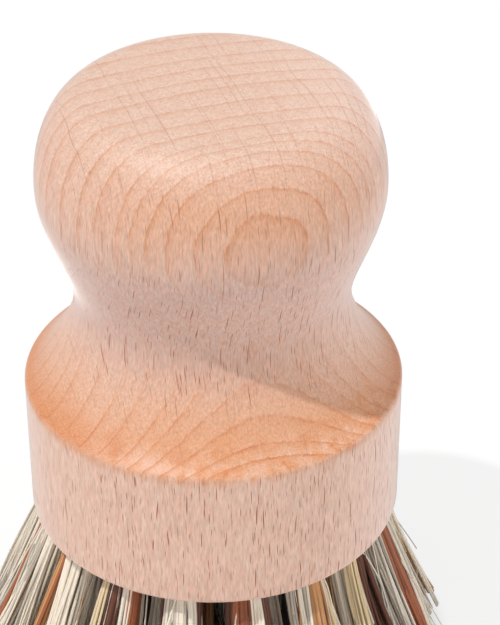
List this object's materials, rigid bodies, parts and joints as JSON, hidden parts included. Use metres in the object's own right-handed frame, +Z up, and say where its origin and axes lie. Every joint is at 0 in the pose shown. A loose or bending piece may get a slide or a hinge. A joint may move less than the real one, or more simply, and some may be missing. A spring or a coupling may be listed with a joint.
{
  "type": "dish brush",
  "caption": "Dish brush with a turned wooden knob and block, and stapled tufts of mixed plant fibre that flare out to flat-trimmed tips.",
  "frame": {"origin": "centre of the circle that the trimmed fibre tips stand on, at the brush's base", "axes": "+Z up along the turning axis, from the fibre tips through the block to the top of the knob; the wood's grain runs along +Z"},
  "size_m": [0.0832, 0.0832, 0.1059],
  "materials": {
    "turned_beech": "fine sanded, bare, satin",
    "mixed_plant_fibre": "stiff plant fibre, pale with golden and dark brown strands",
    "steel_wire": "drawn wire"
  },
  "bodies": {
    "root": {"handle_block": "turned_beech", "tuft_inner_1": "mixed_plant_fibre", "tuft_inner_2": "mixed_plant_fibre", "tuft_inner_3": "mixed_plant_fibre", "tuft_inner_4": "mixed_plant_fibre", "tuft_middle_1": "mixed_plant_fibre", "tuft_middle_2": "mixed_plant_fibre", "tuft_middle_3": "mixed_plant_fibre", "tuft_middle_4": "mixed_plant_fibre", "tuft_middle_5": "mixed_plant_fibre", "tuft_middle_6": "mixed_plant_fibre", "tuft_middle_7": "mixed_plant_fibre", "tuft_middle_8": "mixed_plant_fibre", "tuft_outer_1": "mixed_plant_fibre", "tuft_outer_2": "mixed_plant_fibre", "tuft_outer_3": "mixed_plant_fibre", "tuft_outer_4": "mixed_plant_fibre", "tuft_outer_5": "mixed_plant_fibre", "tuft_outer_6": "mixed_plant_fibre", "tuft_outer_7": "mixed_plant_fibre", "tuft_outer_8": "mixed_plant_fibre", "tuft_outer_9": "mixed_plant_fibre", "tuft_outer_10": "mixed_plant_fibre", "tuft_outer_11": "mixed_plant_fibre", "tuft_outer_12": "mixed_plant_fibre", "tuft_outer_13": "mixed_plant_fibre", "tuft_outer_14": "mixed_plant_fibre", "tuft_outer_15": "mixed_plant_fibre", "tuft_outer_16": "mixed_plant_fibre", "staple_inner_1": "steel_wire", "staple_inner_2": "steel_wire", "staple_inner_3": "steel_wire", "staple_inner_4": "steel_wire", "staple_middle_1": "steel_wire", "staple_middle_2": "steel_wire", "staple_middle_3": "steel_wire", "staple_middle_4": "steel_wire", "staple_middle_5": "steel_wire", "staple_middle_6": "steel_wire", "staple_middle_7": "steel_wire", "staple_middle_8": "steel_wire", "staple_outer_1": "steel_wire", "staple_outer_2": "steel_wire", "staple_outer_3": "steel_wire", "staple_outer_4": "steel_wire", "staple_outer_5": "steel_wire", "staple_outer_6": "steel_wire", "staple_outer_7": "steel_wire", "staple_outer_8": "steel_wire", "staple_outer_9": "steel_wire", "staple_outer_10": "steel_wire", "staple_outer_11": "steel_wire", "staple_outer_12": "steel_wire", "staple_outer_13": "steel_wire", "staple_outer_14": "steel_wire", "staple_outer_15": "steel_wire", "staple_outer_16": "steel_wire"}
  },
  "joints": []
}
